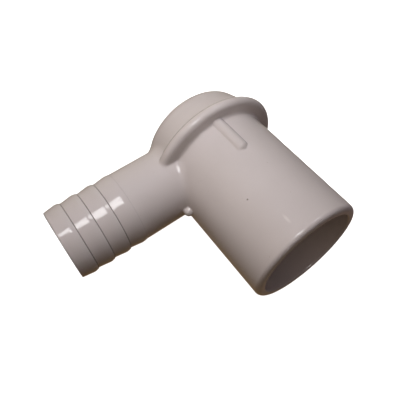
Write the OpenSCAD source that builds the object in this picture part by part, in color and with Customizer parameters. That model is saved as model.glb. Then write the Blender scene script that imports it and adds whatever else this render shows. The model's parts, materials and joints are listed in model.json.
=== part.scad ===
// Hose elbow with a closed domed end: a plain spigot at a right angle to a ridged hose tail,
// with a stop flange round the body. One rigid moulding.
//
// Origin: centre of the spigot's mouth. +Y points out of the spigot, +X points out of the
// hose tail, and the alignment ribs are on the +Z and -Z sides.

/* [Spigot] */
// outside diameter of the spigot, as 1-1/2 inch pipe
spigot_od = 48.26; // [36:0.01:54]
// wall thickness of the spigot and of the domed end
wall = 3.68; // [2:0.01:6]
// straight length of the spigot, inside and out, that a socket can take
socket_depth = 37; // [15:0.5:50]
// distance from the mouth to the underside of the stop flange
stop_depth = 56.4; // [44:0.1:75]
// gain in outside radius from the straight length to the flange, left by the mould
draft = 0.15; // [0:0.05:0.5]
// loss of bore radius from the straight length to the closed end, left by the core
core_draft = 0.4; // [0.1:0.05:1]
// radius of the mouth's rounded outer edge
mouth_round = 2; // [0.5:0.1:3.2]

/* [Stop flange] */
// outside diameter of the flange
flange_od = 60.2; // [56:0.1:110]
// thickness of the flange, whose rim is a half round
flange_t = 4.4; // [2:0.1:8]

/* [Domed end] */
// diameter of the dome where it leaves the flange
dome_od = 54.8; // [50:0.1:60]
// slant height of the dome's side
dome_side = 10.7; // [4:0.1:20]
// lean of the dome's side towards its axis, in degrees
dome_lean = 15; // [5:1:30]
// radius of the dome's shoulder
dome_shoulder = 8; // [3:0.1:12]
// radius of the dome's shallow crown
dome_crown = 35.5; // [30:0.1:60]

/* [Hose tail] */
// height of the tail's axis above the spigot's mouth
tail_height = 59.05; // [45:0.05:75]
// outside diameter of the plain tube behind the ridges
tail_od = 30.3; // [26:0.1:30.6]
// bore of the tail
tail_bore = 24; // [10:0.1:27]
// diameter over the first ridge's crest, the one next to the plain tube
crest_od = 30.8; // [30.6:0.1:40]
// loss of crest radius from each ridge to the next, towards the tip
ridge_taper = 0.05; // [0:0.01:0.15]
// height of a crest above the groove in front of it
ridge_h = 0.7; // [0.3:0.05:1.5]
// number of ridges
ridges = 4; // [1:1:8]
// length of one ridge
ridge_pitch = 7.23; // [4:0.01:12]
// distance from the spigot's axis to the plain tube's end
tube_end = 43.8; // [35:0.1:80]
// length of the sharp step at a ridge's back, which grips the hose
step_length = 0.35; // [0.1:0.05:0.6]
// share of a ridge's back that the sharp step climbs
step_share = 0.6; // [0.3:0.05:0.9]
// length of a ridge's back, sharp step included
ridge_back = 1.6; // [0.8:0.1:3]
// length of a ridge's flat crest
ridge_land = 0.7; // [0.2:0.1:1]

/* [Details] */
// width of an alignment rib
rib_w = 5.2; // [2:0.1:8]
// height of a rib above the spigot
rib_h = 1.5; // [0.5:0.1:2.2]
// distance from the mouth to a rib's rounded end
rib_start = 39; // [20:0.5:51]
// radius of the moulding gate's stub, in the crook under the tail
gate_r = 2.1; // [0.8:0.1:2.5]

/* [Finish] */
// colour of the plastic
body_colour = "#D8D0CA"; // [#D8D0CA, #FFFFFF, #A9A9A9]
// smoothness of the drawn curves
smoothness = 96; // [24:8:160]

/* [Hidden] */
$fn = smoothness;
over = 1; // how far a cut runs past the face it opens
spigot_r = spigot_od / 2;
bore_r = spigot_r - wall;
body_r = spigot_r + draft;
core_r = bore_r - core_draft;
flange_r = flange_od / 2;
flange_top = stop_depth + flange_t;
dome_r = dome_od / 2;
// the dome's outline: side, shoulder and crown meet in tangents
side_end_r = dome_r - dome_side * sin(dome_lean);
side_end_h = flange_top + dome_side * cos(dome_lean);
shoulder_r = side_end_r - dome_shoulder * cos(dome_lean);
shoulder_h = side_end_h - dome_shoulder * sin(dome_lean);
crown_drop = sqrt(pow(dome_crown - dome_shoulder, 2) - pow(shoulder_r, 2));
crown_h = shoulder_h - crown_drop;
tail_r = tail_od / 2;
tail_bore_r = tail_bore / 2;
tail_reach = tube_end + ridges * ridge_pitch; // from the spigot's axis to the tail's tip
first_crest_r = crest_od / 2;
rib_r = rib_w / 2;

elbow();

// the whole moulding
module elbow() {
  color(body_colour)
    difference() {
      union() {
        along_y() rotate_extrude() body_outline();
        along_tail() rotate_extrude() tail_outline();
        alignment_rib();
        mirror([0, 0, 1]) alignment_rib();
        gate_stub();
      }
      along_y() rotate_extrude() cavity_outline();
      along_tail() cylinder(r = tail_bore_r, h = tail_reach + over);
    }
}

// turns a shape drawn upright about Z so that its depth runs back from the mouth, along -Y
module along_y() {
  rotate([90, 0, 0]) children();
}

// turns an upright shape onto the tail's axis, with Z running out of the tail
module along_tail() {
  translate([0, -tail_height, 0]) rotate([0, 90, 0]) children();
}

// half section of the body's outside: radius across, depth behind the mouth upwards
module body_outline() {
  spigot_outline();
  flange_outline();
  dome_outline();
}

module spigot_outline() {
  translate([0, mouth_round]) square([spigot_r, socket_depth - mouth_round]);
  square([spigot_r - mouth_round, socket_depth]);
  translate([spigot_r - mouth_round, mouth_round]) circle(mouth_round);
  polygon([
    [0, socket_depth],
    [spigot_r, socket_depth],
    [body_r, stop_depth],
    [0, stop_depth]
  ]);
}

module flange_outline() {
  rim_r = flange_t / 2;
  translate([0, stop_depth]) square([flange_r - rim_r, flange_t]);
  translate([flange_r - rim_r, stop_depth + rim_r]) circle(rim_r);
}

module dome_outline() {
  polygon([
    [0, flange_top],
    [dome_r, flange_top],
    [side_end_r, side_end_h],
    [shoulder_r, shoulder_h],
    [0, shoulder_h]
  ]);
  translate([shoulder_r, shoulder_h]) circle(dome_shoulder);
  crown_sector(dome_crown);
}

// the slice of a crown-centred disc between the axis and the shoulder's centre
module crown_sector(radius) {
  reach = 2 * radius / crown_drop;
  intersection() {
    translate([0, crown_h]) circle(radius);
    polygon([
      [0, crown_h],
      [shoulder_r * reach, crown_h + crown_drop * reach],
      [0, crown_h + crown_drop * reach]
    ]);
  }
}

// half section of the space inside the body: straight, then narrowing to an end like the crown
module cavity_outline() {
  translate([0, -over]) square([bore_r, socket_depth + over]);
  intersection() {
    polygon([
      [0, socket_depth - over],
      [bore_r, socket_depth - over],
      [bore_r, socket_depth],
      [core_r, side_end_h],
      [core_r, crown_h + dome_crown],
      [0, crown_h + dome_crown]
    ]);
    union() {
      square([bore_r, crown_h]);
      translate([0, crown_h]) circle(dome_crown - wall);
    }
  }
}

// half section of the tail's outside, from the spigot's axis to the tip
module tail_outline() {
  square([tail_r, tube_end]);
  for (i = [0 : ridges - 1]) ridge_outline(i);
}

// one ridge: a sharp step, a rounded-off back, a flat crest and a long slope towards the tip
module ridge_outline(i) {
  foot = tube_end + i * ridge_pitch;
  front = foot + ridge_pitch;
  foot_r = i == 0 ? tail_r : groove_r(i - 1);
  polygon([
    [0, foot],
    [foot_r, foot],
    [foot_r + step_share * (crest_r(i) - foot_r), foot + step_length],
    [crest_r(i), foot + ridge_back],
    [crest_r(i), foot + ridge_back + ridge_land],
    [groove_r(i), front],
    [0, front]
  ]);
}

// radius of the crest of ridge i
function crest_r(i) = first_crest_r - i * ridge_taper;

// radius of the groove in front of ridge i
function groove_r(i) = crest_r(i) - ridge_h;

// half-round rib from the flange towards the mouth, ending in a ball
module alignment_rib() {
  rib_z = spigot_r + rib_h - rib_r;
  translate([0, -(rib_start + rib_r), rib_z]) {
    sphere(rib_r);
    rotate([90, 0, 0]) cylinder(r = rib_r, h = stop_depth - rib_start - rib_r);
  }
}

// stub of the gate, where the tail's underside meets the spigot
module gate_stub() {
  off_spigot = gate_r / 4; // from the spigot's side to the stub's centre
  off_tail = gate_r * 0.7; // from the tail's underside to the stub's centre
  translate([spigot_r + off_spigot, tail_r + off_tail - tail_height, 0]) sphere(gate_r);
}
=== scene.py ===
"""Looks for the hose tail elbow: one glossy moulding, modelled as a distance field and meshed once.

Lengths are millimetres until the mesh is made. The row frame has its origin at the centre of the
spigot's mouth, +Y out of the mouth, +X along the hose tail and +Z square to both.
"""

import json
import math

import bpy
import numpy as np
from mathutils import Matrix, Vector


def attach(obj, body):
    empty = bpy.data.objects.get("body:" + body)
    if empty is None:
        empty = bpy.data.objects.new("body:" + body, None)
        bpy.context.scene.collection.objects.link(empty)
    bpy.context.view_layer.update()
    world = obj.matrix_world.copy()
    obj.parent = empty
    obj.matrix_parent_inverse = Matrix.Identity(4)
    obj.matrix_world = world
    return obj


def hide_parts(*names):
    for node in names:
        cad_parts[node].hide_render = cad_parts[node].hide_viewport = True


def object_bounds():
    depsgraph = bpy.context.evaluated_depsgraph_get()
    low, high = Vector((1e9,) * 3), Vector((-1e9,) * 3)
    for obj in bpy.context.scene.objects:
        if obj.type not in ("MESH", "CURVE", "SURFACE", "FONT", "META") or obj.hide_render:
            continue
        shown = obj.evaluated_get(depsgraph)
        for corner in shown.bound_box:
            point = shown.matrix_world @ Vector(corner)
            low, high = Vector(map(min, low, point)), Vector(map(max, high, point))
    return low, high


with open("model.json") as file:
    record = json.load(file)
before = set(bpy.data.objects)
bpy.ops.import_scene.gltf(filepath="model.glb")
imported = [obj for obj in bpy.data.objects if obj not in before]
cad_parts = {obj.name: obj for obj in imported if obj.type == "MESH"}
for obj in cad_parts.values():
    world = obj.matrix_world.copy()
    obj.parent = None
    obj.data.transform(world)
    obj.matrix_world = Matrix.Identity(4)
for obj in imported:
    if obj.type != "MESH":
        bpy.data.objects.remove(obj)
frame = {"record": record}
cad_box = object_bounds()
low, high = (Vector(corner) for corner in cad_box)
CENTRE = (low + high) / 2
MM = 0.001


# ---- the moulding's sizes: the mounts give them where they can, and the rest are the CAD's ----
mounts = {mount["name"]: mount for mount in frame["record"]["mounts"]}
SPIGOT_R = mounts["spigot_outside"]["dims"]["r_mm"]
BORE_R = mounts["spigot_bore"]["dims"]["r_mm"]
SOCKET_DEPTH = mounts["spigot_bore"]["dims"]["length_mm"]
STOP_DEPTH = -mounts["flange_seat"]["pos_m"][1] / MM
TAIL_BORE_R = mounts["tail_bore"]["dims"]["r_mm"]
TAIL_DEPTH = -mounts["tail_bore"]["pos_m"][1] / MM
WALL = SPIGOT_R - BORE_R
MOUTH_ROUND, CORE_DRAFT = 2.0, 0.4
FLANGE_R, FLANGE_T = 30.1, 4.4
DOME_R, DOME_SIDE, DOME_LEAN, SHOULDER_R, CROWN_R = 27.4, 10.7, math.radians(15), 8.0, 35.5
TAIL_R, TUBE_END, PITCH, RIDGES = 15.15, 43.8, 7.23, 4
CREST_R, RIDGE_TAPER, RIDGE_H = 15.4, 0.05, 0.7
STEP_L, STEP_SHARE, RIDGE_BACK, RIDGE_LAND = 0.35, 0.6, 1.6, 0.7
TAIL_REACH = TUBE_END + RIDGES * PITCH
RIB_R, RIB_H, RIB_START = 2.6, 1.5, 39.0
GATE_R = 2.1
GATE_OFF_SPIGOT, GATE_OFF_TAIL = 0.25, 0.7  # from each wall to the gate's centre, in gate radii
FULL_ROUND_GAP = 0.01  # what the flange's full round edge lacks of half its thickness

# ---- soft edges that only the visual model has ----
TAIL_FILLET, DOME_CREASE, RIB_FILLET, NOSE_FILLET, GATE_FILLET = 2.4, 1.6, 0.25, 0.8, 0.4
FLANGE_FILLETS = 1.2, 3.0  # on the flange's spigot side and on its dome side
TIP_ROUND, INNER_FILLET, MOUTH_EASE = 0.5, 0.6, 0.35
CELL = 0.72  # widest spacing of the net
EDGE = 0.15  # spacing of the net beside a sharp edge
SLOPE_STEP = 0.02  # how far to each side of a point the field's slope is taken
LEAST_SLOPE = 0.25  # squared, so that a settling step stays short where the field is flat
SETTLE_ROUNDS = 4


def blend_min(a, b, k):
    """Union of two distances with a fillet about k wide."""
    h = np.maximum(k - np.abs(a - b), 0) / k
    return np.minimum(a, b) - h * h * k / 4


def blend_max(a, b, k):
    """Intersection of two distances with an eased edge about k wide."""
    return -blend_min(-a, -b, k)


def slab(radius, along, half_r, low, high, rounding):
    """Distance to a disc of radius half_r between low and high, its edges rounded."""
    middle, half = (low + high) / 2, (high - low) / 2
    out_r = radius - half_r + rounding
    out_a = np.abs(along - middle) - half + rounding
    outside = np.hypot(np.maximum(out_r, 0), np.maximum(out_a, 0))
    return outside + np.minimum(np.maximum(out_r, out_a), 0) - rounding


# the dome's shoulder centre and crown centre, where side, shoulder and crown are tangent
SIDE_R = DOME_R - DOME_SIDE * math.sin(DOME_LEAN)
SIDE_H = STOP_DEPTH + FLANGE_T + DOME_SIDE * math.cos(DOME_LEAN)
KNEE_R = SIDE_R - SHOULDER_R * math.cos(DOME_LEAN)
KNEE_H = SIDE_H - SHOULDER_R * math.sin(DOME_LEAN)
CROWN_H = KNEE_H - math.sqrt((CROWN_R - SHOULDER_R) ** 2 - KNEE_R**2)


def dome(radius, depth):
    """Distance to the domed end, from below the flange to the crown."""
    side = (radius - KNEE_R) * math.cos(DOME_LEAN) + (depth - KNEE_H) * math.sin(DOME_LEAN)
    crown = np.hypot(radius, depth - CROWN_H) - (CROWN_R - SHOULDER_R)
    past_side = (depth - KNEE_H) * math.cos(DOME_LEAN) - (radius - KNEE_R) * math.sin(DOME_LEAN)
    past_crown = (radius - KNEE_R) * (KNEE_H - CROWN_H) - (depth - KNEE_H) * KNEE_R
    knee = np.hypot(radius - KNEE_R, depth - KNEE_H)
    core = np.where((past_side > 0) & (past_crown > 0), knee, np.maximum(side, crown))
    return np.maximum(core - SHOULDER_R, STOP_DEPTH + FLANGE_T / 2 - depth)


def ridge_steps(i):
    """Stations along ridge i, from its back to its front: foot, step, crest, crest's end, front."""
    back = TUBE_END + i * PITCH
    return [back, back + STEP_L, back + RIDGE_BACK, back + RIDGE_BACK + RIDGE_LAND, back + PITCH]


def tail(radius, x):
    """Distance to the tail: a plain tube, then ridges with a steep back and a long front."""
    stations, radii = [0.0, TUBE_END], [TAIL_R, TAIL_R]
    for i in range(RIDGES):
        crest = CREST_R - i * RIDGE_TAPER
        step = radii[-1] + STEP_SHARE * (crest - radii[-1])
        stations += ridge_steps(i)[1:]
        radii += [step, crest, crest, crest - RIDGE_H]
    outline = np.interp(x, stations, radii)
    return blend_max(radius - outline, x - TAIL_REACH, TIP_ROUND)


def rib(x, y, z):
    """Distance to a half-round rib that runs from the flange towards the mouth."""
    past = np.maximum(y + RIB_START + RIB_R, 0)
    return np.sqrt(x * x + past * past + (np.abs(z) - SPIGOT_R - RIB_H + RIB_R) ** 2) - RIB_R


def moulding(p):
    """Signed distance in mm from the points p to the moulding's surface, negative inside it."""
    x, y, z = p[..., 0], p[..., 1], p[..., 2]
    depth, body_r = -y, np.hypot(x, z)
    tail_r = np.hypot(y + TAIL_DEPTH, z)
    flange_mid = STOP_DEPTH + FLANGE_T / 2

    body = slab(body_r, depth, SPIGOT_R, 0, flange_mid + MOUTH_ROUND, MOUTH_ROUND)
    lip_round = FLANGE_T / 2 - FULL_ROUND_GAP
    lip = slab(body_r, depth, FLANGE_R, STOP_DEPTH, STOP_DEPTH + FLANGE_T, lip_round)
    ribs = np.maximum(rib(x, y, z), depth - flange_mid)
    gate_x = SPIGOT_R + GATE_R * GATE_OFF_SPIGOT
    gate_y = TAIL_R + GATE_R * GATE_OFF_TAIL - TAIL_DEPTH
    gate = np.sqrt((x - gate_x) ** 2 + (y - gate_y) ** 2 + z * z)

    tube = np.maximum(tail(tail_r, x), -x)
    across = np.clip((depth - STOP_DEPTH) / FLANGE_T, 0, 1)
    across = across * across * (3 - 2 * across)
    flange_fillet = FLANGE_FILLETS[0] + (FLANGE_FILLETS[1] - FLANGE_FILLETS[0]) * across

    core = blend_min(body, dome(body_r, depth), DOME_CREASE)
    solid = np.minimum(blend_min(core, ribs, RIB_FILLET), blend_min(core, tube, TAIL_FILLET))
    solid = np.minimum(solid, blend_min(core, lip, flange_fillet))
    solid = np.minimum(solid, blend_min(tube, lip, NOSE_FILLET))
    solid = np.minimum(solid, blend_min(ribs, lip, RIB_FILLET))
    solid = blend_min(solid, gate - GATE_R, GATE_FILLET)

    bore = body_r - np.interp(depth, [SOCKET_DEPTH, SIDE_H], [BORE_R, BORE_R - CORE_DRAFT])
    end = np.hypot(body_r, np.maximum(depth - CROWN_H, 0)) - (CROWN_R - WALL)
    passage = np.maximum(tail_r - TAIL_BORE_R, -x)
    hollow = blend_min(blend_max(bore, end, INNER_FILLET), passage, INNER_FILLET)
    return blend_max(solid, -hollow, MOUTH_EASE)


def slope(p):
    """Gradient of the distance at the points p, by central differences."""
    steps = SLOPE_STEP * np.eye(3)
    rises = [moulding(p + step) - moulding(p - step) for step in steps]
    return np.stack(rises, -1) / (2 * SLOPE_STEP)


def settle(p):
    """Moves points near the surface onto it."""
    for _ in range(SETTLE_ROUNDS):
        g = slope(p)
        steepness = np.maximum((g * g).sum(-1, keepdims=True), LEAST_SLOPE)
        step = moulding(p)[..., None] * g / steepness
        p = p - np.clip(step, -CELL, CELL)
    return p


def spread(stops):
    """Places along one axis: every stop, and even steps no wider than the net's between them."""
    places = [stops[0]]
    for start, end in zip(stops, stops[1:]):
        count = math.ceil((end - start) / CELL)
        places += list(np.linspace(start, end, count + 1)[1:])
    return np.array(places)


def net_places():
    """Places of the net's vertices along X, Y and Z, closer together at the sharp edges."""
    margin = 2 * CELL
    first, last = low / MM - Vector((margin,) * 3), high / MM + Vector((margin,) * 3)
    sharp = sorted({round(at, 4) for i in range(RIDGES) for at in ridge_steps(i)})
    ridges = sorted({at + side for at in sharp for side in (-EDGE, 0, EDGE)})
    return [
        spread([first.x, *ridges, last.x]),
        spread([first.y, -MOUTH_ROUND, -EDGE, 0, last.y]),
        spread([first.z, 0, last.z]),
    ]


def surface_net(places):
    """Vertices and outward quads of the moulding's surface: one vertex for each cell it crosses."""
    lines = [(along[1:] + along[:-1]) / 2 for along in places]
    grid = np.stack(np.meshgrid(*lines, indexing="ij"), -1)
    inside = np.stack([moulding(plane) for plane in grid]) < 0
    corners = [
        inside[i : i - 1 or None, j : j - 1 or None, k : k - 1 or None].astype(np.int8)
        for i in (0, 1)
        for j in (0, 1)
        for k in (0, 1)
    ]
    count = sum(corners)
    crossed = (count > 0) & (count < 8)
    ids = np.full(crossed.shape, -1)
    ids[crossed] = np.arange(crossed.sum())
    starts = np.stack([along[1 + at] for along, at in zip(places, np.nonzero(crossed))], -1)
    ring = ((0, 0), (1, 0), (1, 1), (0, 1))
    faces = []
    for a in range(3):
        order = (a, (a + 1) % 3, (a + 2) % 3)
        side, cell = np.transpose(inside, order), np.transpose(ids, order)
        here, there = side[:-1, 1:-1, 1:-1], side[1:, 1:-1, 1:-1]
        i, j, k = np.nonzero(here != there)
        quad = np.stack([cell[i, j + dj, k + dk] for dj, dk in ring], 1)
        turned = there[i, j, k]
        quad[turned] = quad[turned, ::-1]
        faces.append(quad)
    return settle(starts), np.concatenate(faces)


def moulded_mesh(name):
    """The moulding as a Blender mesh in metres, shaded with the field's own normals."""
    points, quads = surface_net(net_places())
    mesh = bpy.data.meshes.new(name)
    mesh.from_pydata((points * MM).tolist(), [], quads.tolist())
    mesh.shade_smooth()
    normals = slope(points)
    normals /= np.linalg.norm(normals, axis=-1, keepdims=True)
    mesh.normals_split_custom_set_from_vertices(normals.tolist())
    return mesh


class Nodes:
    """A short way to write a node tree."""

    def __init__(self, material):
        self.tree = material.node_tree
        self.tree.nodes.clear()

    def add(self, kind, inputs=None, **settings):
        """Adds a node, sets its properties, and sets or links its inputs."""
        node = self.tree.nodes.new("ShaderNode" + kind)
        for key, value in settings.items():
            setattr(node, key, value)
        for key, value in (inputs or {}).items():
            socket = node.inputs[key]
            if isinstance(value, bpy.types.NodeSocket):
                self.tree.links.new(value, socket)
            else:
                socket.default_value = value
        return node

    def math(self, operation, *values):
        """A Math node's output."""
        return self.add("Math", dict(enumerate(values)), operation=operation).outputs[0]

    def vector(self, operation, *values, output="Vector"):
        """A Vector Math node's output."""
        node = self.add("VectorMath", dict(enumerate(values)), operation=operation)
        return node.outputs[output]

    def noise(self, place, scale, detail, roughness):
        """Noise between 0 and 1. scale is in cells per metre."""
        inputs = {"Vector": place, "Scale": scale, "Detail": detail, "Roughness": roughness}
        return self.add("TexNoise", inputs).outputs["Fac"]

    def ramp(self, value, stops):
        """A colour ramp through (position, colour) stops."""
        node = self.add("ValToRGB", {"Fac": value})
        elements = node.color_ramp.elements
        while len(elements) < len(stops):
            elements.new(0.5)
        for element, (position, colour) in zip(elements, stops):
            element.position = position
            element.color = (*colour, 1)
        return node.outputs["Color"]

    def blend(self, amount, first, second):
        """The colour first where amount is 0 and the fixed colour second where it is 1."""
        inputs = {"Factor": amount, "A": first, "B": (*second, 1)}
        return self.add("Mix", inputs, data_type="RGBA").outputs["Result"]

    def band(self, value, low, high, to_low=0.0, to_high=1.0):
        """value moved from the range low..high to to_low..to_high, and held there."""
        inputs = {
            "Value": value,
            "From Min": low,
            "From Max": high,
            "To Min": to_low,
            "To Max": to_high,
        }
        return self.add("MapRange", inputs, clamp=True).outputs["Result"]


def mark(n, place, centre, reach):
    """1 at centre, falling to 0 at the ellipsoid whose half axes are reach, all in mm."""
    away = n.vector("SUBTRACT", place, [v * MM for v in centre])
    scaled = n.vector("MULTIPLY", away, [1 / (v * MM) for v in reach])
    distance = n.vector("LENGTH", scaled, output="Value")
    return n.band(distance, MARK_CORE, 1.0, 1.0, 0.0)


def plastic():
    """Glossy off-white PVC with dirt and painted shade in the tail's creases, a scratch and a dark
    speck.
    """
    material = bpy.data.materials.new("glossy_pvc")
    material.use_nodes = True
    n = Nodes(material)
    place = n.add("TexCoord").outputs["Object"]
    axes = n.add("SeparateXYZ", {"Vector": place}).outputs

    clouds = n.noise(place, CLOUD_SCALE, 3, 0.55)
    flecks = n.noise(place, FLECK_SCALE, 2, 0.6)
    colour = n.ramp(clouds, [(0.3, PLASTIC_DARK), (0.7, PLASTIC_LIGHT)])
    colour = n.blend(n.band(flecks, *FLECK_BAND), colour, PLASTIC_FLECK)
    crease_dirt_and_shade = crease_dirt_and_shade_mask(n, axes)
    # painted shade with some dirt: the ridges' feet are darkened where shade falls in the narrow
    # notches
    colour = n.blend(crease_dirt_and_shade, colour, DIRT_AND_SHADE)
    scratch = n.math("MULTIPLY", mark(n, place, *SCRATCH), SCRATCH_SHARE)
    colour = n.blend(scratch, colour, SCRATCH_WHITE)
    colour = n.blend(mark(n, place, *SPECK), colour, DIRT_AND_SHADE)

    stretched = n.add("Mapping", {"Vector": place, "Scale": SCUFF_SCALES}).outputs[0]
    scuffs = n.band(n.noise(stretched, 1, 2, 0.7), *SCUFF_BAND, 0, SCUFF_ROUGHNESS)
    worn = ROUGHNESS + PATCH_ROUGHNESS
    patches = n.band(n.noise(place, PATCH_SCALE, 4, 0.6), *PATCH_BAND, ROUGHNESS, worn)
    dusty = n.math("MULTIPLY", crease_dirt_and_shade, DIRT_ROUGHNESS)
    rough = n.math("ADD", n.math("ADD", patches, scuffs), dusty)

    from_seam = n.math("ABSOLUTE", axes["Z"])
    seam = n.band(from_seam, SEAM_HALF * MM, SEAM_FOOT * MM, SEAM_HEIGHT, 0.0)
    ripples = n.math("MULTIPLY", n.noise(place, RIPPLE_SCALE, 1, 0.4), RIPPLE_HEIGHT)
    peel = n.math("MULTIPLY", n.noise(place, PEEL_SCALE, 2, 0.5), PEEL_HEIGHT)
    height = n.math("ADD", n.math("ADD", ripples, peel), seam)
    inputs = {"Height": height, "Strength": BUMP_STRENGTH, "Distance": BUMP_UNIT * MM}
    bump = n.add("Bump", inputs).outputs[0]

    shader = n.add(
        "BsdfPrincipled",
        {
            "Base Color": colour,
            "Roughness": rough,
            "Normal": bump,
            "IOR": PVC_IOR,
        },
    )
    output = n.add("OutputMaterial")
    n.tree.links.new(shader.outputs[0], output.inputs["Surface"])
    return material


def crease_dirt_and_shade_mask(n, axes):
    """1 in the sharp foot of each ridge on the outside of the tail, where dirt and painted shade
    darken the colour, 0 elsewhere.
    """
    along = n.math("SUBTRACT", axes["X"], (TUBE_END + CREASE_SHIFT) * MM)
    from_foot = n.math("ABSOLUTE", n.math("WRAP", along, -PITCH / 2 * MM, PITCH / 2 * MM))
    line = n.band(from_foot, CREASE_HALF * 0.5 * MM, CREASE_HALF * 1.5 * MM, 1.0, 0.0)
    from_axis = n.math("ADD", axes["Y"], TAIL_DEPTH * MM)
    across_y = n.math("MULTIPLY", from_axis, from_axis)
    across_z = n.math("MULTIPLY", axes["Z"], axes["Z"])
    radius = n.math("SQRT", n.math("ADD", across_y, across_z))
    outside = n.math("GREATER_THAN", radius, (TAIL_BORE_R + CREASE_MARGIN) * MM)
    on_ridges = n.band(axes["X"], (TUBE_END - CREASE_LEAD) * MM, (TUBE_END + PITCH) * MM)
    before_tip = n.math("LESS_THAN", axes["X"], (TAIL_REACH - CREASE_MARGIN) * MM)
    mask = n.math("MULTIPLY", n.math("MULTIPLY", line, outside), before_tip)
    return n.math("MULTIPLY", mask, on_ridges)


def studio_world():
    """A dim room: each of ROOM_GLOWS is a soft patch of wall, ceiling or table round the object."""
    world = bpy.data.worlds.new("studio")
    world.use_nodes = True
    n = Nodes(world)
    way = n.add("TexCoord").outputs["Generated"]
    total = (0.0, 0.0, 0.0)
    for direction, colour in ROOM_GLOWS:
        axis = tuple(Vector(direction).normalized())
        facing = n.vector("DOT_PRODUCT", way, axis, output="Value")
        amount = n.math("POWER", n.math("MAXIMUM", facing, 0.0), GLOW_FALLOFF)
        total = n.vector("MULTIPLY_ADD", amount, colour, total)
    shader = n.add("Background", {"Color": total, "Strength": 1.0})
    output = n.add("OutputWorld")
    n.tree.links.new(shader.outputs[0], output.inputs["Surface"])
    return world


def floor_material():
    """Plain matt white paper over a light table, so that it stays white."""
    material = bpy.data.materials.new("white_paper")
    material.use_nodes = True
    n = Nodes(material)
    place = n.add("TexCoord").outputs["Object"]
    grain = n.noise(place, PAPER_SCALE, 3, 0.6)
    bump = n.add("Bump", {"Height": grain, "Strength": 0.02, "Distance": 0.0005}).outputs[0]
    colour = n.ramp(grain, [(0.3, PAPER_DARK), (0.7, PAPER_LIGHT)])
    shader = n.add(
        "BsdfPrincipled",
        {
            "Base Color": colour,
            "Roughness": 0.9,
            "Normal": bump,
            "Emission Color": (1, 1, 1, 1),
            "Emission Strength": FLOOR_GLOW,
        },
    )
    output = n.add("OutputMaterial")
    n.tree.links.new(shader.outputs[0], output.inputs["Surface"])
    return material


def aim(obj, place, target):
    """Puts obj at place, with its -Z axis towards target."""
    obj.location = place
    obj.rotation_euler = (Vector(target) - Vector(place)).to_track_quat("-Z", "Y").to_euler()


def panel(name, direction, distance, size, power, in_gloss=True, in_diffuse=True):
    """A soft rectangular light, seen from the object in that direction."""
    light = bpy.data.lights.new(name, "AREA")
    light.shape = "RECTANGLE"
    light.size, light.size_y = size
    light.energy = power
    obj = bpy.data.objects.new(name, light)
    bpy.context.scene.collection.objects.link(obj)
    obj.visible_glossy, obj.visible_diffuse = in_gloss, in_diffuse
    aim(obj, CENTRE + Vector(direction).normalized() * distance, CENTRE)


# ---- the plastic: scales are in cells a metre, bands are where a noise takes effect ----
PLASTIC_LIGHT, PLASTIC_DARK = (0.81, 0.745, 0.735), (0.78, 0.715, 0.705)
PLASTIC_FLECK = (0.60, 0.52, 0.46)
CLOUD_SCALE = 45
FLECK_SCALE, FLECK_BAND = 900, (0.74, 0.80)
# a dark colour: the real dark speck, and dirt with painted shade in the ridges' feet
DIRT_AND_SHADE, DIRT_ROUGHNESS = (0.22, 0.18, 0.15), 0.5
CREASE_SHIFT, CREASE_HALF = 0.1, 0.16  # the line of dirt and painted shade: its place past the foot and its half width
CREASE_MARGIN, CREASE_LEAD = 1.0, 0.5  # clear of the bore and the tip; before the first ridge
MARK_CORE = 0.2  # share of a mark's reach that has its full strength
SCRATCH = (7.2, -8.2, 23.0), (0.7, 2.6, 1.0)  # a small scratch near the mouth: centre and reach
SCRATCH_WHITE, SCRATCH_SHARE = (0.96, 0.90, 0.88), 0.8
SPECK = (11.9, -22.9, 21.0), (0.45, 0.45, 0.45)  # a dark speck in the plastic
ROUGHNESS, PVC_IOR = 0.07, 1.53
PATCH_SCALE, PATCH_BAND, PATCH_ROUGHNESS = 60, (0.35, 0.7), 0.03
SCUFF_SCALES, SCUFF_BAND, SCUFF_ROUGHNESS = (260, 2600, 2600), (0.64, 0.8), 0.06
BUMP_UNIT, BUMP_STRENGTH = 1.0, 0.35  # the heights below are shares of the unit
RIPPLE_SCALE, RIPPLE_HEIGHT = 70, 0.12
PEEL_SCALE, PEEL_HEIGHT = 1500, 0.002
SEAM_HALF, SEAM_FOOT, SEAM_HEIGHT = 0.04, 0.18, 0.02  # the mould's parting line, at Z = 0

# ---- the room: the direction and colour of each soft patch ----
# Their first strengths came from fitting renders to the photograph's shading, and were then
# rounded and adjusted. Colour of the plastic and strength of the light can't be told
# apart from one photograph.
ROOM_GLOWS = [
    ((0.0, 0.0, 1.0), (0.0, 0.01, 0.12)),
    ((0.0, 0.0, -1.0), (0.18, 0.10, 0.03)),
    ((-1.0, 0.2, -0.5), (0.08, 0.06, 0.08)),
    ((-0.5, -0.75, -0.5), (0.38, 0.33, 0.28)),
    ((-0.8, 0.5, 0.0), (0.04, 0.035, 0.03)),
    ((0.0, 0.5, 1.2), (0.18, 0.155, 0.105)),
    ((1.0, 0.0, 0.9), (0.34, 0.26, 0.18)),
    ((-1.0, 0.0, 0.25), (0.05, 0.04, 0.02)),
    ((0.0, -1.0, 0.25), (0.19, 0.15, 0.06)),
]
GLOW_FALLOFF = 4.0  # power of the cosine from a patch's direction
FLOOR_GLOW = 1.1
PAPER_SCALE, PAPER_DARK, PAPER_LIGHT = 400, (0.88,) * 3, (0.9,) * 3

# ---- the moulding ----
elbow = bpy.data.objects.new("elbow_moulding", moulded_mesh("elbow_moulding"))
bpy.context.scene.collection.objects.link(elbow)
elbow.data.materials.append(plastic())
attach(elbow, "root")
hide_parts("elbow")

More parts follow.
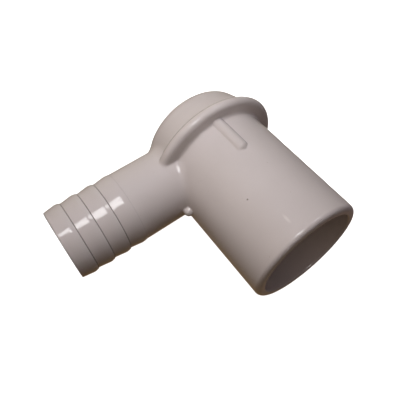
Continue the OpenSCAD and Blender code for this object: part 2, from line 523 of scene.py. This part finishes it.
# ---- floor and backdrop: pale paper that neither lights the moulding nor shows in its gloss ----
FLOOR_HALF, WALL_HEIGHT = 3.0, 4.0
corners = [(x * FLOOR_HALF, y * FLOOR_HALF) for x, y in ((-1, -1), (1, -1), (1, 1), (-1, 1))]
paper_points = [(x, y, z) for z in (0, WALL_HEIGHT) for x, y in corners]
wall_faces = [(i, (i + 1) % 4, (i + 1) % 4 + 4, i + 4) for i in range(4)]
white_paper = floor_material()
for name, faces in (("floor", [(0, 1, 2, 3)]), ("backdrop", wall_faces)):
    mesh = bpy.data.meshes.new(name)
    mesh.from_pydata(paper_points, [], faces)
    paper = bpy.data.objects.new(name, mesh)
    paper.location = (CENTRE.x, CENTRE.y, low.z)
    mesh.materials.append(white_paper)
    bpy.context.scene.collection.objects.link(paper)
    paper.visible_diffuse = paper.visible_glossy = False
    paper.visible_shadow = name == "floor"

# ---- light: the key lights the plastic, and the windows show only in its gloss ----
bpy.context.scene.world = studio_world()
panel("key", (0.03, -0.14, 1.0), 0.18, (0.10, 0.10), 0.154, in_gloss=False)
panel("window", (0.17, 0.08, 0.98), 1.2, (0.46, 0.34), 4.4, in_diffuse=False)
panel("far_window", (-0.49, -0.02, 0.87), 1.2, (0.3, 0.3), 1.8, in_diffuse=False)

# ---- camera: lens and place in mm, with a pose fitted to the photograph's outline ----
LENS, SENSOR = 39.04, 36
CLIP_START = 5
CAMERA_PLACE = Vector((70.1, 36.39, 149.24))
camera = bpy.data.objects.new("camera", bpy.data.cameras.new("camera"))
camera.data.lens = LENS
camera.data.sensor_width = SENSOR
camera.data.clip_start = CLIP_START * MM
right, down, ahead = (
    Vector((-0.8103, 0.5852, -0.0324)),
    Vector((0.5070, 0.6722, -0.5395)),
    Vector((-0.2939, -0.4536, -0.8413)),
)
turn = Matrix((right, -down, -ahead)).transposed().to_4x4()
camera.matrix_world = Matrix.Translation(CAMERA_PLACE * MM) @ turn
bpy.context.scene.collection.objects.link(camera)
bpy.context.scene.camera = camera
bpy.context.scene.view_settings.view_transform = "Standard"
